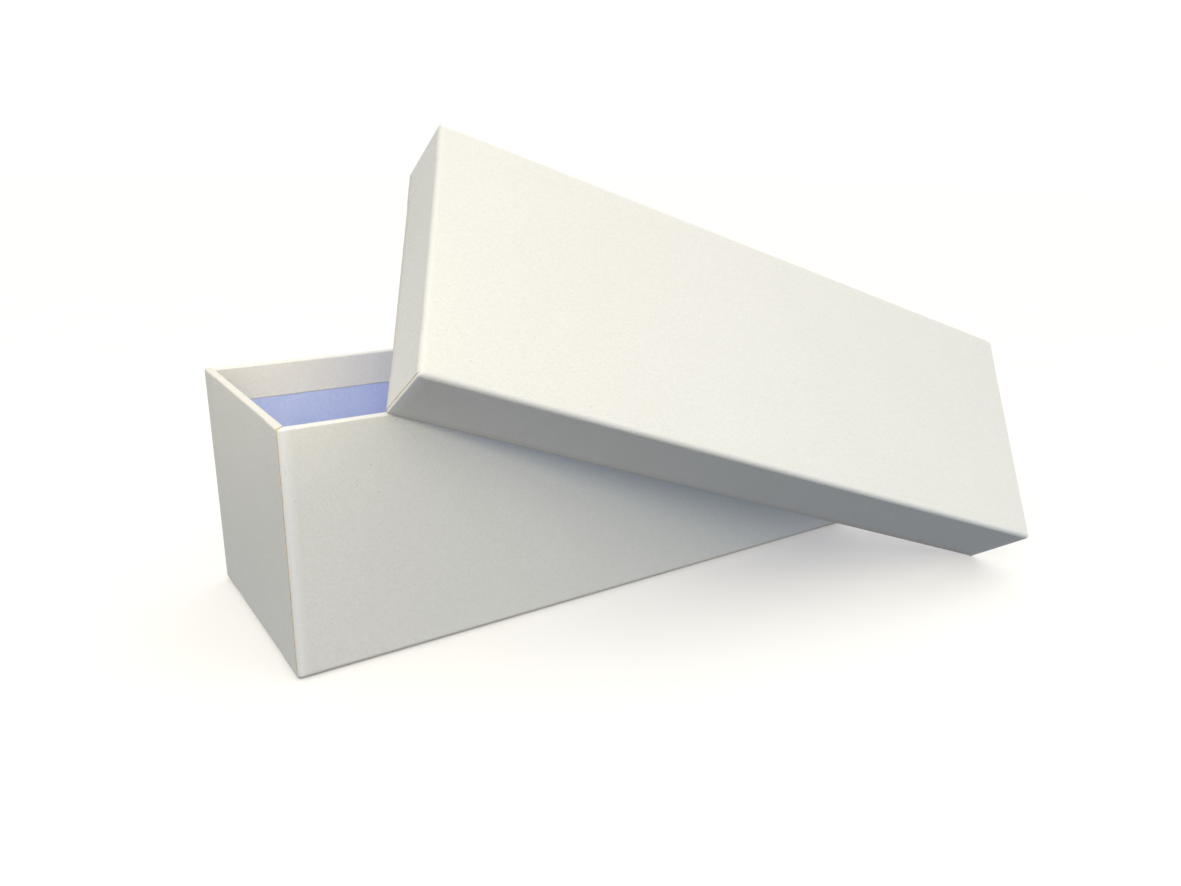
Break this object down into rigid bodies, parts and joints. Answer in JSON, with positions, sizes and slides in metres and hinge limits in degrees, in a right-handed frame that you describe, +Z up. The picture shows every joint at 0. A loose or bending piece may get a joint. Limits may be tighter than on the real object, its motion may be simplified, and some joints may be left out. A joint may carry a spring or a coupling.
{
  "type": "jewelry gift box",
  "caption": "Long rigid gift box for jewelry with a square section, its lift-off lid leaning across the open base; ivory wrapping paper outside, blue lining inside.",
  "frame": {"origin": "centre of the base's underside, where it stands on the ground", "axes": "+X along the base's long side, +Y from the front wall to the back wall, +Z up through the open rim"},
  "size_m": [0.2643, 0.1351, 0.1419],
  "materials": {
    "board": "matte",
    "wrapping_paper": "matte",
    "lining_paper": "matte",
    "stay_paper": "matte"
  },
  "bodies": {
    "base": {"base_floor_board": "board", "base_front_board": "board", "base_back_board": "board", "base_left_board": "board", "base_right_board": "board", "base_liner": "lining_paper", "base_wrap": "wrapping_paper", "base_corner_stay_front_left": "stay_paper", "base_corner_stay_front_right": "stay_paper", "base_corner_stay_back_left": "stay_paper", "base_corner_stay_back_right": "stay_paper"},
    "lid": {"lid_top_board": "board", "lid_front_board": "board", "lid_back_board": "board", "lid_left_board": "board", "lid_right_board": "board", "lid_liner": "lining_paper", "lid_wrap": "wrapping_paper", "lid_corner_stay_front_left": "stay_paper", "lid_corner_stay_front_right": "stay_paper", "lid_corner_stay_back_left": "stay_paper", "lid_corner_stay_back_right": "stay_paper"}
  },
  "joints": [
    {"name": "lid_lift", "type": "slide", "parent": "base", "child": "lid", "axis": [0, 0, 1], "range_m": [0, 0.09]}
  ]
}
